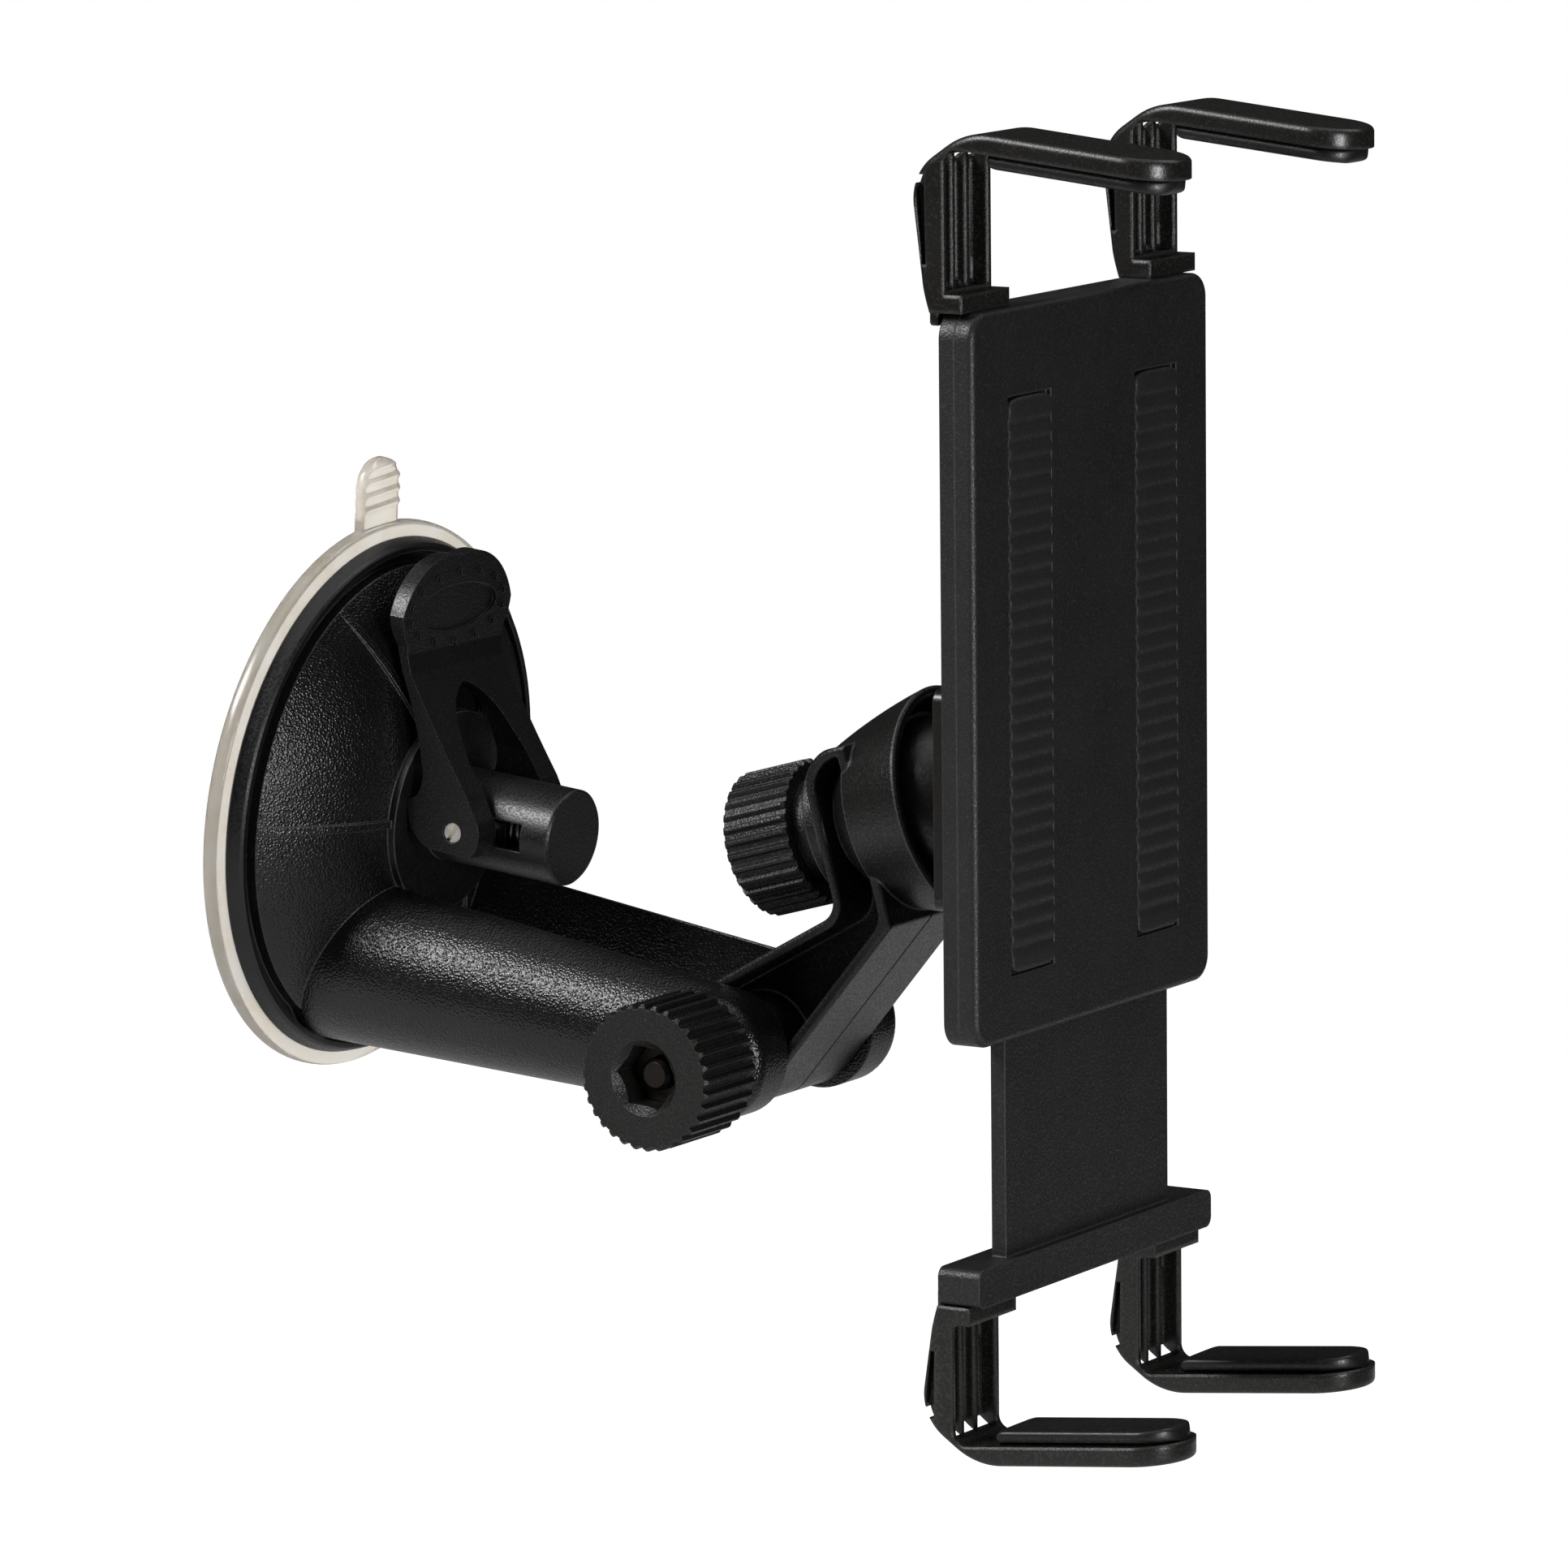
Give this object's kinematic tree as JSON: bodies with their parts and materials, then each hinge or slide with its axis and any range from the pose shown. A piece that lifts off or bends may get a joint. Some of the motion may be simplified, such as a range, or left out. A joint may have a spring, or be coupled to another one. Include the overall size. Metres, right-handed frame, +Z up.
{
  "type": "car phone mount",
  "caption": "Windscreen suction mount with a cam lever, a folding arm, a ball head and a spring jaw phone holder.",
  "frame": {"origin": "centre of the suction pad's sealing face, on the glass", "axes": "+X away from the glass, +Z up with the holder upright, +Y along the elbow bolt away from its knob"},
  "size_m": [0.1362, 0.069, 0.1555],
  "materials": {
    "clear_pad": "clear soft vinyl, slightly cloudy",
    "cup_plastic": "black moulding plastic with a coarse pebbled grain",
    "lever_plastic": "dark grey plastic with a fine matte grain",
    "arm_plastic": "black plastic, satin",
    "knob_plastic": "dark plastic, matte knurl",
    "ball_plastic": "black plastic, smooth",
    "holder_plastic": "dark grey plastic, fine grain",
    "claw_plastic": "dark plastic, satin",
    "soft_grip": "soft matte rubber",
    "friction_liner": "matte",
    "pin_steel": "turned steel",
    "zinc_steel": "zinc plated",
    "spring_steel": "drawn wire"
  },
  "bodies": {
    "base": {"suction_pad": "clear_pad", "cup_housing": "cup_plastic", "elbow_bolt": "zinc_steel", "elbow_washer": "zinc_steel", "plunger_spring": "spring_steel"},
    "plunger": {"pad_stud": "ball_plastic", "lever_pin": "pin_steel"},
    "lever": {"cam_lever": "lever_plastic"},
    "arm": {"arm_link": "arm_plastic", "head_washer": "zinc_steel", "head_bolt": "zinc_steel", "clamp_dome": "zinc_steel"},
    "elbow_clamp": {"elbow_knob": "knob_plastic", "elbow_nut": "zinc_steel"},
    "head_clamp": {"head_knob": "knob_plastic", "head_nut": "zinc_steel"},
    "tilt_liner": {"friction_cup": "friction_liner"},
    "pan_liner": {"friction_disc": "friction_liner"},
    "holder": {"swivel_ball": "ball_plastic", "adapter_plate": "ball_plastic", "adapter_screws": "zinc_steel", "holder_back": "holder_plastic", "holder_front": "holder_plastic", "cover_screws": "zinc_steel", "rest_pads": "soft_grip", "jaw_springs": "spring_steel", "upper_claw_left": "claw_plastic", "upper_claw_right": "claw_plastic", "upper_claw_pad_left": "soft_grip", "upper_claw_pad_right": "soft_grip"},
    "jaw": {"jaw_slide": "holder_plastic", "lower_claw_left": "claw_plastic", "lower_claw_right": "claw_plastic", "lower_claw_pad_left": "soft_grip", "lower_claw_pad_right": "soft_grip"}
  },
  "joints": [
    {"name": "plunger_lift", "type": "slide", "parent": "base", "child": "plunger", "axis": [1, 0, 0], "range_m": [-0.00395, 0], "deforming": ["plunger_spring", "suction_pad"]},
    {"name": "lever_release", "type": "hinge", "parent": "plunger", "child": "lever", "pos_m": [0.0202, 0, 0], "axis": [0, 1, 0], "range_deg": [0, 86]},
    {"name": "elbow_fold", "type": "hinge", "parent": "base", "child": "arm", "pos_m": [0.0625, 0, -0.01895], "axis": [0, 1, 0], "range_deg": [-45, 90]},
    {"name": "elbow_knob_turn", "type": "hinge", "parent": "base", "child": "elbow_clamp", "pos_m": [0.0625, 0, -0.01895], "axis": [0, -1, 0], "continuous": true},
    {"name": "head_knob_turn", "type": "hinge", "parent": "arm", "child": "head_clamp", "pos_m": [0.06958, 0, 0.00894], "axis": [-0.9272, 0, -0.3746], "continuous": true},
    {"name": "ball_tilt", "type": "hinge", "parent": "arm", "child": "tilt_liner", "pos_m": [0.0821, 0, 0.014], "axis": [0, -1, 0], "range_deg": [-1, 32]},
    {"name": "ball_pan", "type": "hinge", "parent": "tilt_liner", "child": "pan_liner", "pos_m": [0.0821, 0, 0.014], "axis": [-0.1132, 0, 0.9936], "range_deg": [-12, 12]},
    {"name": "ball_spin", "type": "hinge", "parent": "pan_liner", "child": "holder", "pos_m": [0.0821, 0, 0.014], "axis": [0.9936, 0, 0.1132], "continuous": true},
    {"name": "jaw_open", "type": "slide", "parent": "holder", "child": "jaw", "axis": [0.1132, 0, -0.9936], "range_m": [-0.025, 0.025], "deforming": ["jaw_springs"]}
  ],
  "couplings": [
    {"joint": "plunger_lift", "follows": "lever_release", "m_per_rad": -0.0025983}
  ]
}
